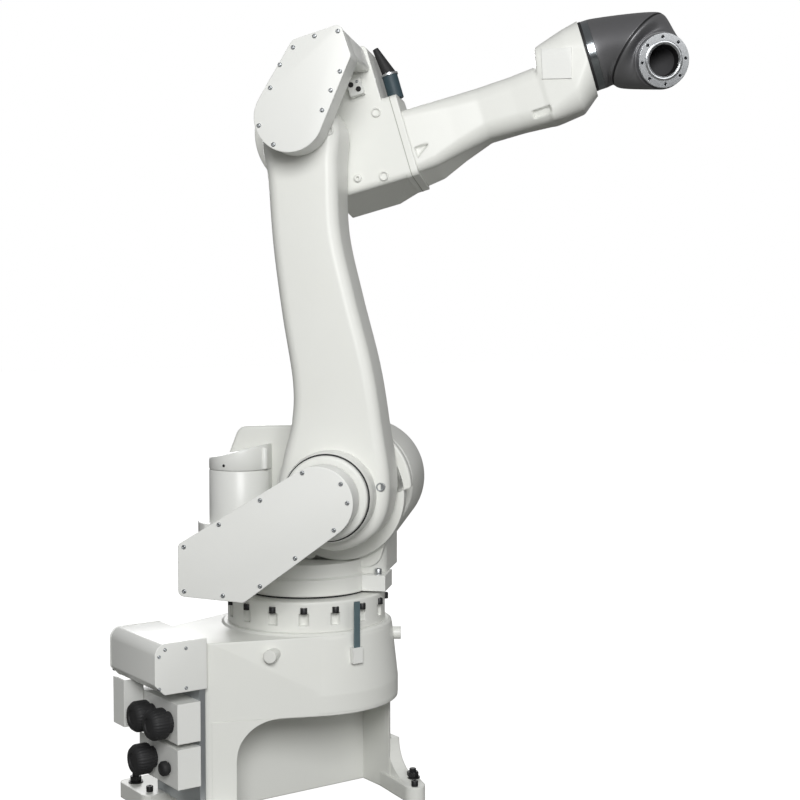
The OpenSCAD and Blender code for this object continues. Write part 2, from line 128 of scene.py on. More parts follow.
def finish(name, colour, tint, roughness, metallic=0.0, grain_mm=2.5, bump_mm=0.02, cloud_mm=180,
           edge_mm=2.0):
    """A surface whose colour drifts slowly to a tint, with a fine grain in its bump and gloss
    and eased edges."""
    material = bpy.data.materials.new(name)
    material.use_nodes = True
    tree = material.node_tree
    shader = tree.nodes["Principled BSDF"]
    where = node(tree, "TexCoord").outputs["Object"]
    cloud = node(tree, "TexNoise", inputs={
        "Vector": where, "Scale": per_metre(cloud_mm), "Detail": 4.0})
    drift = node(tree, "MixRGB", inputs={
        "Fac": cloud.outputs["Fac"], "Color1": linear(colour), "Color2": linear(tint)})
    tree.links.new(drift.outputs["Color"], shader.inputs["Base Color"])
    grain = node(tree, "TexNoise", inputs={
        "Vector": where, "Scale": per_metre(grain_mm), "Detail": 2.0})
    gloss = node(tree, "MapRange", inputs={
        "Value": grain.outputs["Fac"], "To Min": roughness - GLOSS_SPREAD,
        "To Max": roughness + GLOSS_SPREAD})
    tree.links.new(gloss.outputs["Result"], shader.inputs["Roughness"])
    eased = node(tree, "Bevel", {"samples": 6}, {"Radius": edge_mm * MM})
    bump = node(tree, "Bump", inputs={
        "Height": grain.outputs["Fac"], "Distance": bump_mm * MM,
        "Normal": eased.outputs["Normal"]})
    tree.links.new(bump.outputs["Normal"], shader.inputs["Normal"])
    shader.inputs["Metallic"].default_value = metallic
    return material


# Baked enamel on sand castings: satin, with a faint orange peel and soft edges
enamel = finish("baked_enamel_on_casting", "#E9EAE6", "#E5E6E0", 0.36, edge_mm=5.0)
# The same enamel where two castings run flush, with hardly any edge
fairing_enamel = finish("baked_enamel_flush", "#E9EAE6", "#E5E6E0", 0.36, edge_mm=0.2)
# The same enamel on folded covers, flatter and with tighter edges
cover_enamel = finish("baked_enamel_on_cover", "#EBECE9", "#E7E8E4", 0.34, edge_mm=2.5)
# Hard-coated aluminium: dark grey, faintly mottled, half matt
hard_coat = finish("hard_coated_aluminium", "#79797B", "#6D6D6F", 0.38, metallic=0.6,
                   grain_mm=1.2, bump_mm=0.03, cloud_mm=60, edge_mm=3.0)
# Turned steel: bright, with fine tool marks
turned_steel = finish("turned_steel", "#C9CBCD", "#BEC1C4", 0.26, metallic=1.0,
                      grain_mm=0.8, bump_mm=0.01, cloud_mm=40, edge_mm=1.0)
# Ground steel: smoother than turned steel, and darker as painted reflection: its colour is dimmed to stand for the
# dark reflections on the wrist ring
ground_steel_painted_dark = finish("ground_steel_painted_dark", "#9BA0A3", "#8F9498", 0.2, metallic=1.0,
                      grain_mm=0.8, bump_mm=0.01, cloud_mm=40, edge_mm=1.0)
# Zinc-plated screws: bright but duller than turned steel
zinc = finish("zinc_plated_steel", "#B7BABC", "#A9ACAF", 0.33, metallic=1.0,
              grain_mm=0.8, bump_mm=0.01, cloud_mm=15, edge_mm=0.5)
# Black-oxide bolts: nearly black with a slight sheen
black_oxide = finish("black_oxide_steel", "#2A2A2B", "#353536", 0.42, metallic=0.6,
                     grain_mm=0.8, bump_mm=0.01, cloud_mm=15, edge_mm=0.5)
# Moulded rubber and nylon: matt black
rubber = finish("moulded_rubber", "#1B1B1C", "#232325", 0.62,
                grain_mm=0.8, bump_mm=0.03, cloud_mm=40, edge_mm=1.0)
# Sealant in a joint: soft grey
sealant = finish("skinned_sealant", "#B4B5AE", "#A9AAA3", 0.5, edge_mm=0.3)
# Coated braid sleeve: deep blue-grey
sleeve_cloth = finish("coated_sleeve", "#33474F", "#293A42", 0.55,
                      grain_mm=1.0, bump_mm=0.08, cloud_mm=25, edge_mm=1.0)
# Plain aluminium sheet
bare_aluminium = finish("rolled_aluminium", "#C4C8CB", "#B4B9BD", 0.36, metallic=0.9,
                        grain_mm=1.0, bump_mm=0.01, cloud_mm=60, edge_mm=0.8)
# Anodised index strip: blue-grey
anodised = finish("anodised_aluminium", "#6E8288", "#62757B", 0.4, metallic=0.4,
                  grain_mm=1.0, bump_mm=0.01, cloud_mm=30, edge_mm=0.8)

COVERS = (
    "rear_box", "rear_box_ends", "cable_bracket", "upper_connector_box", "lower_connector_box",
    "shoulder_drive_box", "shoulder_drive_lid", "elbow_drive_box", "elbow_drive_lid",
    "forearm_cover", "terminal_box", "motor_cap", "stop_block", "mark_block")
SLOT_FINISH = {
    "paint": enamel, "graphite": hard_coat, "steel": turned_steel, "aluminium": bare_aluminium,
    "black_rubber": rubber, "blue_grey": sleeve_cloth}
NODE_FINISH = {"mark_strip": anodised, "wrist_ring": ground_steel_painted_dark}
NODE_FINISH.update(dict.fromkeys(COVERS, cover_enamel))

for part in frame["record"]["subparts"]:
    skin = NODE_FINISH.get(part["node"], SLOT_FINISH[part["material_slot"]])
    frame["nodes"][part["node"]].data.materials.clear()
    frame["nodes"][part["node"]].data.materials.append(skin)


# Surfaces as grids of points

SHARP_DEG = 40


def mesh_of(name, grids, skin, body, stands_for=(), rows_closed=False):
    """One object from equal grids (copies, rows, columns, 3) in metres: quads between neighbours,
    columns closed into rings, and either the rows closed too or a flat face over each copy's first
    and last ring."""
    grids = grids if grids.ndim == 4 else grids[None]
    copies, rows, columns, _ = grids.shape
    i = np.arange(rows if rows_closed else rows - 1)[:, None]
    j = np.arange(columns)[None, :]
    after, below = (j + 1) % columns, ((i + 1) % rows) * columns
    quads = np.stack(np.broadcast_arrays(
        i * columns + j, i * columns + after, below + after, below + j), -1)
    first = np.arange(copies)[:, None] * rows * columns
    corners = (quads.reshape(1, -1) + first).ravel()
    sizes = np.full(len(corners) // 4, 4)
    if not rows_closed:
        ends = np.concatenate([j[:, ::-1] + first, j + (rows - 1) * columns + first]).ravel()
        corners = np.concatenate([corners, ends])
        sizes = np.concatenate([sizes, np.full(2 * copies, columns)])
    mesh = bpy.data.meshes.new(name)
    mesh.vertices.add(copies * rows * columns)
    mesh.vertices.foreach_set("co", grids.astype(np.float32).ravel())
    mesh.loops.add(len(corners))
    mesh.loops.foreach_set("vertex_index", corners.astype(np.int32))
    mesh.polygons.add(len(sizes))
    mesh.polygons.foreach_set("loop_start", (np.cumsum(sizes) - sizes).astype(np.int32))
    mesh.update(calc_edges=True)
    mesh.polygons.foreach_set("use_smooth", sizes == 4)
    mesh.set_sharp_from_angle(angle=radians(SHARP_DEG))
    mesh.validate()
    mesh.materials.append(skin)
    piece = bpy.data.objects.new(name, mesh)
    bpy.context.scene.collection.objects.link(piece)
    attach(piece, body)
    if stands_for:
        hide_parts(*stands_for)


def turned(profile, steps, hexed=(), ribs=(0, 0.0)):
    """Surface of revolution about +X through (x, radius) rows. A row in hexed has a hexagon's
    radius, and ribs (count, depth) add a cosine to every radius."""
    angle = np.arange(steps) * 2 * pi / steps
    x, radius = np.array(profile, float).T
    round_or_hex = np.ones((len(x), steps))
    round_or_hex[list(hexed)] = np.cos(pi / 6) / np.cos(angle % (pi / 3) - pi / 6)
    r = radius[:, None] * (round_or_hex + ribs[1] * np.cos(ribs[0] * angle))
    x = np.broadcast_to(x[:, None], r.shape)
    return np.stack([x, r * np.cos(angle), r * np.sin(angle)], -1)


def tube(start, end, inner_r, outer_r, steps=120):
    """A square-edged ring about +X, to be closed across its rows."""
    return turned([(start, inner_r), (start, outer_r), (end, outer_r), (end, inner_r)], steps)


def facing(where, points, direction):
    """Frames at points of a frame whose +X looks along a direction of it. Their side is square to
    a way just off upright, so that +X can point straight up too."""
    ahead = unit(where[:3, :3] @ np.asarray(direction, float))
    side = unit(np.cross(ahead, UP + 0.3 * LEFT))
    return [frame_of(put(np.asarray(p, float), where), ahead, side) for p in points]


def on_face(where, left, places):
    """Frames on a face square to the shoulder axis, from (forward, up) places, looking to the
    near side."""
    return facing(where, [(a, left, n) for a, n in places], (0, -1, 0))


def fit(name, shape, frames, skin, body, stands_for=(), rows_closed=False):
    """One object of the same shape set into each frame."""
    mesh_of(name, np.stack([put(shape, f) for f in frames]), skin, body, stands_for, rows_closed)


# Lower arm: a bowed slab with deep round edges

HUB_R, HEAD_R, ARM_LEN = 127, 82, 823
ARM_NEAR, ARM_FAR, ARM_EDGE = -210, -60, 26
ARM_SIDE = np.array([
    (0, -HUB_R), (90, -90), (HUB_R, 0), (122, 150), (112, 280), (86, 440), (68, 580), (75, 720),
    (HEAD_R, ARM_LEN), (0, ARM_LEN + HEAD_R), (-HEAD_R, ARM_LEN), (-84, 700), (-86, 560),
    (-80, 410), (-70, 260), (-80, 170), (-110, 80), (-HUB_R, 0), (-90, -90)], float)


def smoothed(p, per_span):
    """Closed Catmull-Rom curve through the points p, per_span points for each span."""
    a, b, c, d = (np.roll(p, k, 0)[:, None] for k in (1, 0, -1, -2))
    t = (np.arange(per_span) / per_span)[None, :, None]
    square, cube = 2 * a - 5 * b + 4 * c - d, 3 * b - a - 3 * c + d
    return (0.5 * (2 * b + (c - a) * t + square * t**2 + cube * t**3)).reshape(-1, 2)


def eased_levels(near, far, ease, steps):
    """Insets and levels of rings from face to face: at angle q a ring is inset by
    ease (1 - sin q) and lies ease (1 - cos q) inside its face, for both faces."""
    q = np.linspace(0, pi / 2, steps)
    inset, level = ease * (1 - np.sin(q)), ease * (1 - np.cos(q))
    inset = np.concatenate([inset, inset[::-1]])
    return inset, np.concatenate([near + level, far - level[::-1]])


def bowed_slab(outline, near, far, edge):
    """Rings of a closed outline across the arm, moved inward along the outline's normals by the
    eased insets."""
    inset, level = eased_levels(near, far, edge, steps=13)
    along = np.roll(outline, -1, 0) - np.roll(outline, 1, 0)
    inward = np.stack([-along[:, 1], along[:, 0]], -1) / np.linalg.norm(along, axis=1)[:, None]
    side = outline[None] + inset[:, None, None] * inward[None]
    level = np.broadcast_to(level[:, None], side.shape[:2])
    return np.stack([side[..., 0], level, side[..., 1]], -1)


arm_slab = bowed_slab(smoothed(ARM_SIDE, 24), ARM_NEAR, ARM_FAR, ARM_EDGE)[:, ::-1]
mesh_of("lower_arm_casting", put(arm_slab, ARM), enamel, "lower_arm", ("lower_arm",))


# Covers and housings: outlines drawn tight round a few round corners, carried across the arm

# Corners are (forward, up, radius)
SHOULDER_DRUM = [(0, 0, 141), (-262, 102, 32), (-300, 20, 26), (-290, -90, 26), (40, -150, 20)]
SHOULDER_COVER = [(0, 0, 78), (-292, -103, 14), (-292, -194, 14), (-165, -203, 14)]
ELBOW_COVER = [(0, 0, 76), (62, 132, 20), (150, 138, 14), (156, 84, 10)]
ELBOW_BRIDGE = [(70, 128, 18), (150, 138, 14), (156, 100, 10)]
BOX_SIDE = [(-426, 397, 26), (-444, 337, 8), (-426, 319, 8), (-329, 313, 2), (-329, 421, 2)]
# Levels across the arm: the drum's faces, then each lid's face, its case's face and its back, and
# the elbow casting's near face
DRUM_NEAR, DRUM_FAR, DRUM_EASE = 45, 240, 8
SHOULDER_LID_Y, SHOULDER_CASE_Y, SHOULDER_BACK_Y = -360, -352, -285
ELBOW_LID_Y, ELBOW_CASE_Y, ELBOW_BACK_Y, ELBOW_FACE_Y = -300, -292, -220, -55
BOX_HALF, END_PLATE_T = 111, 4
# A case stands back a little behind its lid, and both have folded edges
COVER_EASE, CASE_BACK = 1.5, 1.2
# Pieces of one casting lap into each other
LAP = 1


def hulled_slab(corners, near, far, ease, shrink=0.0, steps=400):
    """Slab over the tight outline of round corners: for each way n the farthest corner gives the
    point centre + (radius - inset) n, with eased insets at both faces."""
    corners = np.array(corners, float)
    angle = -np.arange(steps) * 2 * pi / steps
    way = np.stack([np.cos(angle), np.sin(angle)])
    centre, radius = corners[:, :2], corners[:, 2] - shrink
    pick = np.argmax(centre @ way + radius[:, None], axis=0)
    inset, level = (v[:, None] for v in eased_levels(near, far, ease, steps=5))
    reach = radius[pick] - inset
    level = np.broadcast_to(level, reach.shape)
    return np.stack([centre[pick, 0] + reach * way[0], level, centre[pick, 1] + reach * way[1]], -1)


def slab_piece(name, slabs, where, skin, body, stands_for):
    """One object from slabs with the same number of points, in place of a CAD node."""
    mesh_of(name, np.stack([put(s, where) for s in slabs]), skin, body, (stands_for,))


slab_piece("shoulder_drum", [hulled_slab(SHOULDER_DRUM, DRUM_NEAR, DRUM_FAR, DRUM_EASE)],
           SHOULDER, enamel, "turret", "shoulder_housing")
slab_piece("shoulder_cover_case",
           [hulled_slab(SHOULDER_COVER, SHOULDER_CASE_Y, SHOULDER_BACK_Y, COVER_EASE, CASE_BACK)],
           SHOULDER, cover_enamel, "turret", "shoulder_drive_box")
slab_piece("shoulder_cover_lid",
           [hulled_slab(SHOULDER_COVER, SHOULDER_LID_Y, SHOULDER_CASE_Y, COVER_EASE)],
           SHOULDER, cover_enamel, "turret", "shoulder_drive_lid")
slab_piece("elbow_cover_case",
           [hulled_slab(ELBOW_COVER, ELBOW_CASE_Y, ELBOW_BACK_Y, COVER_EASE, CASE_BACK),
            hulled_slab(ELBOW_BRIDGE, ELBOW_BACK_Y - LAP, ELBOW_FACE_Y, COVER_EASE, CASE_BACK)],
           FOREARM, cover_enamel, "upper_arm", "elbow_drive_box")
slab_piece("elbow_cover_lid", [hulled_slab(ELBOW_COVER, ELBOW_LID_Y, ELBOW_CASE_Y, COVER_EASE)],
           FOREARM, cover_enamel, "upper_arm", "elbow_drive_lid")
slab_piece("service_box", [hulled_slab(BOX_SIDE, -BOX_HALF, BOX_HALF, 1.0, 1.0)],
           BASE, cover_enamel, "base", "rear_box")
slab_piece("service_box_ends",
           [hulled_slab(BOX_SIDE, y, y + END_PLATE_T, 1.2)
            for y in (-BOX_HALF - END_PLATE_T, BOX_HALF)],
           BASE, cover_enamel, "base", "rear_box_ends")


# Forearm: a loft of rounded sections from the elbow flange to the wrist ring

FLANGE_A, WRIST_A, WRIST_Y, FOREARM_HALF = 205, 639, 12, 67
# Part of the way, bottom, top, half width beside the flange's, corner radius, and how much lower
# the far bottom corner lies
SECTIONS = np.array([
    (0, -160, -14, -3, 20, 24), (0.1, -158, -14, -5, 24, 22), (0.24, -146, -14, -8, 32, 12),
    (0.4, -134, -14, -10, 38, 3), (0.58, -138, -14, -5, 38, 0), (0.735, -142, -12, 2, 34, 0),
    (0.747, -142, 25, 4, 24, 0), (0.79, -142, 33, 6, 34, 0), (0.91, -138, 50, 12, 52, 0),
    (1, -110, 62, 15, 78, 0)])
# Pocket and three-cornered notch in the near side: place, size, depth
POCKET_AT, POCKET_HALF, POCKET_DEPTH = (510, -117), (22, 9), 9
NOTCH_AT, NOTCH_SIZE, NOTCH_DEPTH = (211, -105), (36, 26), 8
SOFT_EDGE, NEAR_SIDE = 3.0, -20
EASE_ROWS = 9


def smooth_step(s):
    """3 s^2 - 2 s^3 for s between 0 and 1."""
    return s * s * (3 - 2 * s)


def pocket(a, n):
    """Depth of a rectangular pocket: a smooth step of the product of the shares inside."""
    u = np.clip((POCKET_HALF[0] - np.abs(a - POCKET_AT[0])) / SOFT_EDGE, 0, 1)
    v = np.clip((POCKET_HALF[1] - np.abs(n - POCKET_AT[1])) / SOFT_EDGE, 0, 1)
    return POCKET_DEPTH * smooth_step(u * v)


def notch(a, n):
    """Depth of a three-cornered notch that runs forward and down from its square corner."""
    u, v = (a - NOTCH_AT[0]) / NOTCH_SIZE[0], (NOTCH_AT[1] - n) / NOTCH_SIZE[1]
    inside = np.minimum(np.minimum(u, v), 1 - u - v) * NOTCH_SIZE[0] / SOFT_EDGE
    return NOTCH_DEPTH * smooth_step(np.clip(inside, 0, 1))


def rounded_ring(half, low, top, corner_r, drop, steps, grow=0.0):
    """Rounded rectangle as (left, up) from its far top corner round: a quarter circle about each
    corner's centre, the far bottom one lower by drop, all grown outward."""
    quarter = np.linspace(0, pi / 2, steps)
    angle = np.concatenate([quarter + k * pi / 2 for k in range(4)])
    far = np.repeat(np.array([1, -1, -1, 1]), steps)
    high = np.repeat(np.array([1, 1, 0, 0]), steps)
    middle = np.where(high > 0, top - corner_r, low + corner_r - np.where(far > 0, drop, 0))
    y = far * (half - corner_r) + (corner_r + grow) * np.cos(angle)
    return y, middle + (corner_r + grow) * np.sin(angle)


def forearm_loft(rows=230, columns=280):
    """Rings whose bottom, top, width, corner radius and drop run through the sections, eased by a
    short moving average. Each ring walks its outline at even steps, and the pocket and the notch
    press the near side in."""
    t = np.linspace(0, 1, rows)
    kernel = np.hanning(EASE_ROWS) / np.hanning(EASE_ROWS).sum()
    values = [np.interp(t, SECTIONS[:, 0], SECTIONS[:, k]) for k in range(1, 6)]
    low, top, half, corner_r, drop = (
        np.convolve(np.pad(v, EASE_ROWS // 2, mode="edge"), kernel, "valid")[:, None]
        for v in values)
    y, z = rounded_ring(half + FOREARM_HALF, low, top, corner_r, drop, 24)
    y, z = np.hstack([y, y[:, :1]]), np.hstack([z, z[:, :1]])
    walked = np.cumsum(np.hypot(np.diff(y, axis=1), np.diff(z, axis=1)), axis=1)
    walked = np.hstack([np.zeros((rows, 1)), walked]).mean(0)
    steps = np.linspace(0, walked[-1], columns, endpoint=False)
    hit = np.clip(np.searchsorted(walked, steps, side="right") - 1, 0, len(walked) - 2)
    part = (steps - walked[hit]) / np.maximum(walked[hit + 1] - walked[hit], 1e-9)
    y, z = (v[:, hit] * (1 - part) + v[:, hit + 1] * part for v in (y, z))
    a = np.broadcast_to((FLANGE_A + t * (WRIST_A - FLANGE_A))[:, None], y.shape)
    y = y + np.where(y < NEAR_SIDE, pocket(a, z) + notch(a, z), 0)
    return np.stack([a, y + WRIST_Y, z], -1)


mesh_of("forearm_casting", put(forearm_loft(), FOREARM), enamel, "upper_arm", ("forearm",))

# Sealant bead round the elbow flange: the flange's own outline, a hair proud, over a short run
FLANGE_LOW, FLANGE_TOP, FLANGE_CORNER, FLANGE_DROP = -167, 25, 14, 24
BEAD_FROM, BEAD_TO, BEAD_PROUD = 188.0, 190.0, 0.4
bead_y, bead_z = rounded_ring(
    FOREARM_HALF, FLANGE_LOW, FLANGE_TOP, FLANGE_CORNER, FLANGE_DROP, 9, BEAD_PROUD)
bead = np.stack([np.stack([np.full_like(bead_y, a), bead_y + WRIST_Y, bead_z], -1)
                 for a in (BEAD_FROM, BEAD_TO)])
mesh_of("flange_bead", put(bead, FOREARM), sealant, "upper_arm")


# Hollow wrist: two slanted bodies between round faces

RING_LEN, RING_R, SEAM_R, COLLAR_R, BORE_R = 22, 79, 93, 63, 35
SEAM_HALF, COLLAR_X, BULGE = 2.5, -15, 40


def slanted_body(start, start_x, start_r, end, end_x, end_r, rows=48, columns=160):
    """Hermite blend from a circle square to one axis to a circle square to the next. Its slopes at
    both ends follow the axes, scaled by the bulge, so the faces meet their rings without a kink."""
    a, b = start[:3, 0] / MM, end[:3, 0] / MM
    level = unit(np.cross(a, b))
    angle = np.arange(columns)[:, None] * 2 * pi / columns

    def ring(where, along, x, r):
        out = np.cos(angle) * level + np.sin(angle) * np.cross(along, level)
        return put(np.array([x, 0, 0.0]), where) + r * MM * out

    p, q = ring(start, a, start_x, start_r), ring(end, b, end_x, end_r)
    s = np.linspace(0, 1, rows)[:, None, None]
    return ((2 * s**3 - 3 * s**2 + 1) * p + (s**3 - 2 * s**2 + s) * BULGE * MM * a
            + (3 * s**2 - 2 * s**3) * q + (s**3 - s**2) * BULGE * MM * b)


def hollow_body(start, start_x, start_r, end, end_x, end_r):
    """A slanted body outside and the bore inside, joined into one closed wall at both faces."""
    outer = slanted_body(start, start_x, start_r, end, end_x, end_r)
    bore = slanted_body(start, start_x, BORE_R, end, end_x, BORE_R + 1)
    return np.concatenate([outer, bore[::-1]])


mesh_of("wrist_shell_1", hollow_body(WRIST, RING_LEN, RING_R, SEAM, -SEAM_HALF, SEAM_R), hard_coat,
        "wrist_1", ("wrist_body_1",), rows_closed=True)
mesh_of("wrist_shell_2", hollow_body(SEAM, SEAM_HALF, SEAM_R, FLANGE, COLLAR_X, COLLAR_R),
        hard_coat, "wrist_2", ("wrist_body_2",), rows_closed=True)
# Seals: one sunk in the slanted seam; round the ring's foot, a hair proud, a black band that is painted
# reflection, standing for the dark reflection along the steel ring's top
SEAM_SEAL = tube(-2.2, 2.2, BORE_R + 2, SEAM_R - 3)
RING_PAINTED_REFLECTION = tube(0.4, 6.5, RING_R - 9, RING_R + 0.4)
mesh_of("seam_seal", put(SEAM_SEAL, SEAM), rubber, "wrist_2", rows_closed=True)
mesh_of("ring_painted_reflection", put(RING_PAINTED_REFLECTION, WRIST), rubber, "wrist_1", rows_closed=True)


# Fasteners and small fittings, turned about their own axes

# Button-head cap screw: skirt, dome, hexagon socket
BUTTON_SCREW = turned(
    [(-2, 5), (0.4, 5), (1.9, 4.5), (2.9, 3.4), (3.1, 2.7), (3.1, 2.4), (1.2, 2.4)], 24, (5, 6))
PLATE_SCREW, SMALL_SCREW = BUTTON_SCREW * 0.8, BUTTON_SCREW * 0.7
# Socket-head cap screw
CAP_SCREW = turned([(-1, 8), (12, 8), (13, 7.2), (13, 4.6), (13, 4.2), (6, 4.2)], 24, (4, 5))
# Hexagon bolt with its washer and stud end
ANCHOR_BOLT = turned(
    [(0, 17), (3, 17), (3, 13.5), (4, 13.8), (14, 13.8), (15.5, 12.4), (15.5, 8), (22, 8), (23, 7)],
    36, (2, 3, 4))


def rim_plug(depth):
    """Round plug with a raised rim and a sunk middle, let in by a depth."""
    return turned(
        [(-depth, 11), (3.4, 11), (4.2, 10.2), (4.2, 8), (3.4, 7.4), (1.4, 7.2)], 32)


SKYWARD, REARWARD = (0, 0, 1), (-1, 0, 0)
# Places on the faces, as (forward, up)
SHOULDER_SCREWS = [
    (-31, 64), (52, 42), (66, 2), (37, -56), (-47, -118), (-124, -180), (-206, -203), (-292, -196),
    (-292, -100), (-214, -50), (-123, 4)]
ELBOW_SCREWS = [
    (154, 138), (103, 144), (52, 136), (14, 110), (-20, 70), (-67, 1), (-48, -47), (134, 56),
    (104, 24), (74, -10)]
ELBOW_PLUGS = [(151, -3), (127, -146)]

fit("shoulder_lid_screws", BUTTON_SCREW, on_face(SHOULDER, SHOULDER_LID_Y, SHOULDER_SCREWS), zinc,
    "turret")
fit("elbow_lid_screws", BUTTON_SCREW, on_face(FOREARM, ELBOW_LID_Y, ELBOW_SCREWS), zinc,
    "upper_arm")
fit("elbow_plugs", rim_plug(3), on_face(FOREARM, ELBOW_FACE_Y, ELBOW_PLUGS), enamel, "upper_arm")

RING_BOLTS, RING_BOLT_R, RING_BOLT_Z = 16, 186, 457
turn = (np.arange(RING_BOLTS) + 0.5) * 2 * pi / RING_BOLTS
ring_places = np.stack([RING_BOLT_R * np.cos(turn), RING_BOLT_R * np.sin(turn),
                        np.full(RING_BOLTS, RING_BOLT_Z)], -1)
fit("ring_bolts", CAP_SCREW, facing(BASE, ring_places, SKYWARD), black_oxide, "base")

FOOT_TOP = 35
FOOT_BOLTS = [(x, y, FOOT_TOP) for x in (185, -363) for y in (-175, 175)]
LEVEL_SCREWS = [(x, side * y, FOOT_TOP)
                for x, y in ((176, 118), (152, 228), (-366, 95)) for side in (-1, 1)]
fit("anchor_bolts", ANCHOR_BOLT, facing(BASE, FOOT_BOLTS, SKYWARD), black_oxide, "base")
fit("level_screws", CAP_SCREW, facing(BASE, LEVEL_SCREWS, SKYWARD), black_oxide, "base")

PLATE_SCREWS = [(-428, 410), (-442, 396), (-378, 407), (-442, 326), (-378, 320)]
for side, word in ((-1, "near"), (1, "far")):
    plate_places = [(x, side * (BOX_HALF + END_PLATE_T), z) for x, z in PLATE_SCREWS]
    fit(f"box_screws_{word}", PLATE_SCREW, facing(BASE, plate_places, (0, side, 0)), zinc, "base")

# Cable plugs: ribbed caps on a narrow neck, in shares of their height and radius
CAP_X, CAP_R, CAP_H, SMALL_R, SMALL_H = -397, 34, 52, 16, 20
CAP_SHAPE = turned(
    [(0, 0.7), (0.2, 0.7), (0.25, 0.96), (0.3, 1), (0.78, 1), (0.84, 0.96), (0.98, 0.8), (1, 0.72),
     (1, 0.5), (0.94, 0.44)], 180, ribs=(30, 0.012))
RIBBED_CAP = CAP_SHAPE * np.array([CAP_H, CAP_R, CAP_R])
SMALL_CAP = CAP_SHAPE * np.array([SMALL_H, SMALL_R, SMALL_R])
for cap_name, cap, cap_places, cad_caps in (
        ("upper_plug_caps", RIBBED_CAP, [(-70, 238), (12, 238)], "upper_connector_caps"),
        ("lower_plug_cap", RIBBED_CAP, [(10, 142)], "lower_connector_caps"),
        ("small_plug_cap", SMALL_CAP, [(-66, 136)], "lower_connector_caps")):
    cap_frames = facing(BASE, [(CAP_X, y, z) for y, z in cap_places], REARWARD)
    fit(cap_name, cap, cap_frames, rubber, "base", (cad_caps,))

# Dark joint line round the hub boss
BOSS_R, BOSS_STEP = 93, 54
boss_line = turned(
    [(0, BOSS_R + 0.2), (0, BOSS_R + 3.6), (1.2, BOSS_R + 3.2), (1.2, BOSS_R + 0.2)], 120)
fit("boss_seal", boss_line, on_face(ARM, ARM_NEAR - BOSS_STEP, [(0, 0)]), rubber, "lower_arm",
    rows_closed=True)

# Terminal box on the elbow: two cable glands and a screw
TERMINAL_Y, GLANDS_AT, TERMINAL_SCREW_AT = -77, [(116, 70), (130, 56)], (131, 73)
GLAND = turned([(0, 6), (1.5, 6), (4, 5), (4, 3.4), (1, 3.2)], 28)
fit("terminal_glands", GLAND, on_face(FOREARM, TERMINAL_Y, GLANDS_AT), rubber, "upper_arm")
fit("terminal_screw", SMALL_SCREW, on_face(FOREARM, TERMINAL_Y, [TERMINAL_SCREW_AT]), zinc,
    "upper_arm")

# Tool flange: raised inner lip, and a dark sleeve in the bore
LIP = turned([(-0.5, 35.3), (1.2, 36.4), (1.7, 37.2), (1.7, 42), (0.8, 43.6), (-0.5, 43.6)], 120)
SLEEVE_LEN = 48
mesh_of("flange_lip", put(LIP, FLANGE), turned_steel, "tool", rows_closed=True)
mesh_of("bore_sleeve", put(tube(-1, -SLEEVE_LEN, BORE_R - 0.8, BORE_R - 0.2, 96), FLANGE), rubber,
        "tool", rows_closed=True)


# Leg fairings: the drum's tangent wall carried down each rear leg, as a wedge between two planes

LEG_X, LEG_Y, ARCH_REAR, ARCH_ROUND, ARCH_TOP = -312, 107.5, -262, 90, 230.5
CROWN_GAP = 3
WALL_SLOPE, LEG_SLOPE = np.tan(radians(22.2)), np.tan(radians(18.3))


def leg_fairing():
    """Rows along the leg of four corners: the wall's plane and the leg's, which spread from one
    upright edge, cut off below by the foot and then by the arch's quarter circle, and ended just
    short of its crown."""
    x = np.concatenate(
        [[LEG_X, ARCH_REAR], np.linspace(ARCH_REAR, ARCH_REAR + ARCH_ROUND - CROWN_GAP, 40)])
    past = x - ARCH_REAR - ARCH_ROUND
    arch = ARCH_TOP - ARCH_ROUND + np.sqrt(np.maximum(ARCH_ROUND**2 - past**2, 0))
    low = np.where(np.arange(len(x)) < 2, FOOT_TOP + LAP, arch)
    high = np.full_like(x, ARCH_TOP)
    wall, leg = LEG_Y + WALL_SLOPE * (x - LEG_X), LEG_Y + LEG_SLOPE * (x - LEG_X) - LAP
    corners = [(wall, low), (wall, high), (leg, high), (leg, low)]
    return np.stack([np.stack([x, y, z], -1) for y, z in corners], 1)


mesh_of("leg_fairing_far", put(leg_fairing(), BASE), fairing_enamel, "base")
mesh_of("leg_fairing_near", put((leg_fairing() * np.array([1, -1, 1]))[::-1], BASE),
        fairing_enamel, "base")


# Stop sector on the shoulder wall

SECTOR_NEAR, SECTOR_FAR, SECTOR_IN, SECTOR_R, SECTOR_EASE = -55, -30, 60, 153, 3
SECTOR_TO = radians(95)
# Angle in degrees at which each radius starts, which slants the lower end
START_R, START_DEG = (SECTOR_IN, 112, SECTOR_R), (-45, -17, 2)


def stop_sector(rows=64):
    """A rectangle with one eased corner swept round the shoulder axis from the slanted end."""
    left, radius = np.array([
        (SECTOR_NEAR, SECTOR_IN), (SECTOR_NEAR, SECTOR_R - SECTOR_EASE),
        (SECTOR_NEAR + SECTOR_EASE, SECTOR_R), (SECTOR_FAR, SECTOR_R), (SECTOR_FAR, SECTOR_IN)],
        float).T
    start = np.radians(np.interp(radius, START_R, START_DEG))
    sweep = start + np.linspace(0, 1, rows)[:, None] * (SECTOR_TO - start)
    left = np.broadcast_to(left, sweep.shape)
    return np.stack([radius * np.cos(sweep), left, radius * np.sin(sweep)], -1)


mesh_of("stop_sector", put(stop_sector()[::-1], SHOULDER), enamel, "turret")


# Motor cover: a stepped case with a sloping cap, a post and a screw

MOTOR_X, MOTOR_Y, MOTOR_R, STEP_R = -167, 25, 75, 102
MOTOR_Z, STEP_LOW, STEP_TOP, CAP_Z = 558, 610, 636, 762
# Flats left by the column, the wing and the housing, from the motor's axis
MOTOR_BACK, MOTOR_NEAR, MOTOR_FAR = 73, -78, 20
# The cap's height where its slope starts, and its climb over the run to the column
CAP_LOW, CAP_FROM, CAP_CLIMB, CAP_RUN = 24, -80, 37, 153


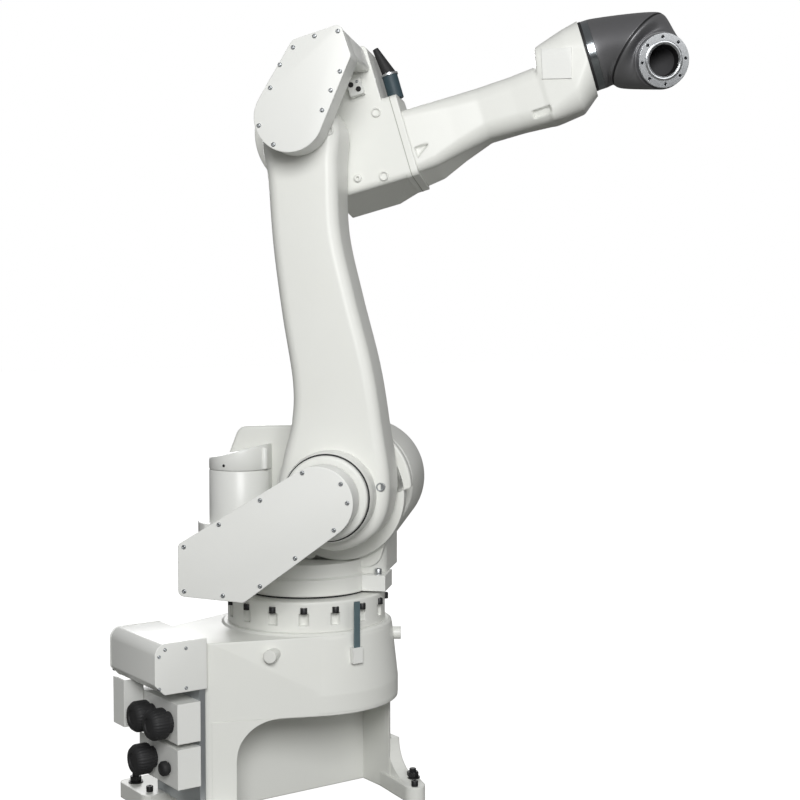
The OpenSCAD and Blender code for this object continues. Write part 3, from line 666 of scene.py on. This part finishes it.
def flattened(rows, rise):
    """Upright (height, radius) rows round the motor's axis, cut flat on three sides. rise lifts a
    row by that share of the cap's height, which grows along the forward way."""
    height, radius = np.array(rows, float).T[:, :, None]
    angle = np.arange(144) * 2 * pi / 144
    x = np.minimum(radius * np.cos(angle), MOTOR_BACK)
    y = np.clip(radius * np.sin(angle), MOTOR_NEAR, MOTOR_FAR)
    cap = CAP_LOW + CAP_CLIMB * (x - CAP_FROM) / CAP_RUN
    return np.stack([x + MOTOR_X, y + MOTOR_Y, height + np.array(rise)[:, None] * cap], -1)


def round_the_motor(turn_deg, z):
    """A place on the motor cover's wall and the way it looks there."""
    out = np.array([np.cos(radians(turn_deg)), np.sin(radians(turn_deg)), 0])
    return np.array([MOTOR_X, MOTOR_Y, z]) + MOTOR_R * out, out


casing_rows = [
    (MOTOR_Z + 0.3, MOTOR_R), (STEP_LOW, MOTOR_R), (STEP_LOW, STEP_R - 2), (STEP_LOW + 2, STEP_R),
    (STEP_TOP - 2, STEP_R), (STEP_TOP, STEP_R - 2), (STEP_TOP, MOTOR_R), (CAP_Z - 3, MOTOR_R),
    (CAP_Z - 1, MOTOR_R - 1.5)]
mesh_of("motor_casing", put(flattened(casing_rows, [0] * 9), TURRET), cover_enamel, "turret",
        ("motor_cover",))
lid_rows = [(CAP_Z, MOTOR_R - 1.5), (CAP_Z + 2, MOTOR_R), (CAP_Z - 4, MOTOR_R),
            (CAP_Z - 1.5, MOTOR_R - 0.8), (CAP_Z, MOTOR_R - 4)]
mesh_of("motor_lid", put(flattened(lid_rows, [0, 0, 1, 1, 1]), TURRET), cover_enamel, "turret",
        ("motor_cap",))

POST = turned([(0, 6.5), (1, 8), (50, 8), (52, 6.5)], 32)
POST_DEG, SCREW_DEG = -26, -106
post_at, _ = round_the_motor(POST_DEG, CAP_Z + 2)
screw_at, screw_way = round_the_motor(SCREW_DEG, CAP_Z + 12)
fit("cap_post", POST, facing(TURRET, [post_at], SKYWARD), cover_enamel, "turret")
fit("cap_screw", SMALL_SCREW, facing(TURRET, [screw_at], screw_way), black_oxide, "turret")

# Plugs on the lower arm's rounded edge, a lug on the elbow and screws on the stop block
EDGE_PLUG_Y, EDGE_PLUG_DEPTH = ARM_NEAR + 3, 16
HEAD_PLUG_AT, HUB_PLUG_AT, LUG_AT = (66, 798), (111, 10), (68, -133)
EDGE_PLUG = rim_plug(EDGE_PLUG_DEPTH)
LUG = turned([(0, 3.2), (0, 9), (4, 9), (4.8, 8), (4.8, 3.2)], 32)
STOP_SCREWS = [(178, -26, 524), (178, 26, 524)]
fit("arm_edge_plug", EDGE_PLUG, on_face(ARM, EDGE_PLUG_Y, [HEAD_PLUG_AT]), enamel, "lower_arm")
fit("arm_plug", EDGE_PLUG * 0.9, on_face(ARM, EDGE_PLUG_Y, [HUB_PLUG_AT]), zinc, "lower_arm")
fit("elbow_lug", LUG, on_face(FOREARM, ELBOW_FACE_Y, [LUG_AT]), enamel, "upper_arm",
    rows_closed=True)
fit("stop_screws", CAP_SCREW, facing(TURRET, STOP_SCREWS, SKYWARD), zinc, "turret")


# Stage: pale floor, soft light and the photograph's viewpoint


def stage_floor(colour, glow):
    """A level square under the arm in matt paint, which glows for the camera alone."""
    size = 30.0
    mesh = bpy.data.meshes.new("floor")
    mesh.from_pydata(
        [(-size, -size, 0), (size, -size, 0), (size, size, 0), (-size, size, 0)], [],
        [(0, 1, 2, 3)])
    floor = bpy.data.objects.new("floor", mesh)
    bpy.context.scene.collection.objects.link(floor)
    material = bpy.data.materials.new("matt_floor_paint")
    material.use_nodes = True
    tree = material.node_tree
    shader = tree.nodes["Principled BSDF"]
    shader.inputs["Base Color"].default_value = linear(colour)
    shader.inputs["Roughness"].default_value = 0.9
    shader.inputs["Emission Color"].default_value = linear("#FFFFFF")
    path = node(tree, "LightPath")
    seen = node(tree, "MapRange", inputs={"Value": path.outputs["Is Camera Ray"], "To Max": glow})
    tree.links.new(seen.outputs["Result"], shader.inputs["Emission Strength"])
    mesh.materials.append(material)


def soft_sky(strength):
    """White world light of one strength, at full strength where the camera sees it."""
    world = bpy.data.worlds.new("studio")
    bpy.context.scene.world = world
    world.use_nodes = True
    tree = world.node_tree
    path = node(tree, "LightPath")
    level = node(tree, "MapRange", inputs={
        "Value": path.outputs["Is Camera Ray"], "To Min": strength, "To Max": 1.0})
    tree.links.new(level.outputs["Result"], tree.nodes["Background"].inputs["Strength"])
    tree.nodes["Background"].inputs["Color"].default_value = linear("#FFFFFF")


def lamp(name, position, target, size, power):
    """A square soft lamp at a position, facing a target. Its matrix's columns are right, up and
    backwards."""
    light = bpy.data.lights.new(name, "AREA")
    light.size, light.energy = size, power
    back = unit(np.subtract(position, target))
    right = unit(np.cross(UP, back))
    matrix = np.eye(4)
    matrix[:3, 0], matrix[:3, 1] = right, np.cross(back, right)
    matrix[:3, 2], matrix[:3, 3] = back, position
    holder = bpy.data.objects.new(name, light)
    holder.matrix_world = matrix.T
    bpy.context.scene.collection.objects.link(holder)


def viewpoint():
    """The photograph's camera: 3.4 m away, level with the lower arm's middle, looking slightly
    down."""
    data = bpy.data.cameras.new("viewpoint")
    data.lens, data.sensor_width = 65.25, 36
    camera = bpy.data.objects.new("viewpoint", data)
    camera.location = (-1.8035, -2.9108, 1.105)
    camera.rotation_euler = (radians(87.04), 0, radians(-35.5))
    bpy.context.scene.collection.objects.link(camera)
    bpy.context.scene.camera = camera


stage_floor("#7C7C79", 0.96)
soft_sky(0.26)
lamp("key", (-2.3, -3.7, 2.7), (0, 0, 0.9), size=1.8, power=148)
lamp("front", (0.5, -4.2, 2.2), (0.2, -0.2, 1.0), size=1.6, power=20)
lamp("back", (1.7, 3.9, 2.6), (0, 0, 0.9), size=1.8, power=80)
viewpoint()

bpy.context.scene.view_settings.view_transform = "Standard"
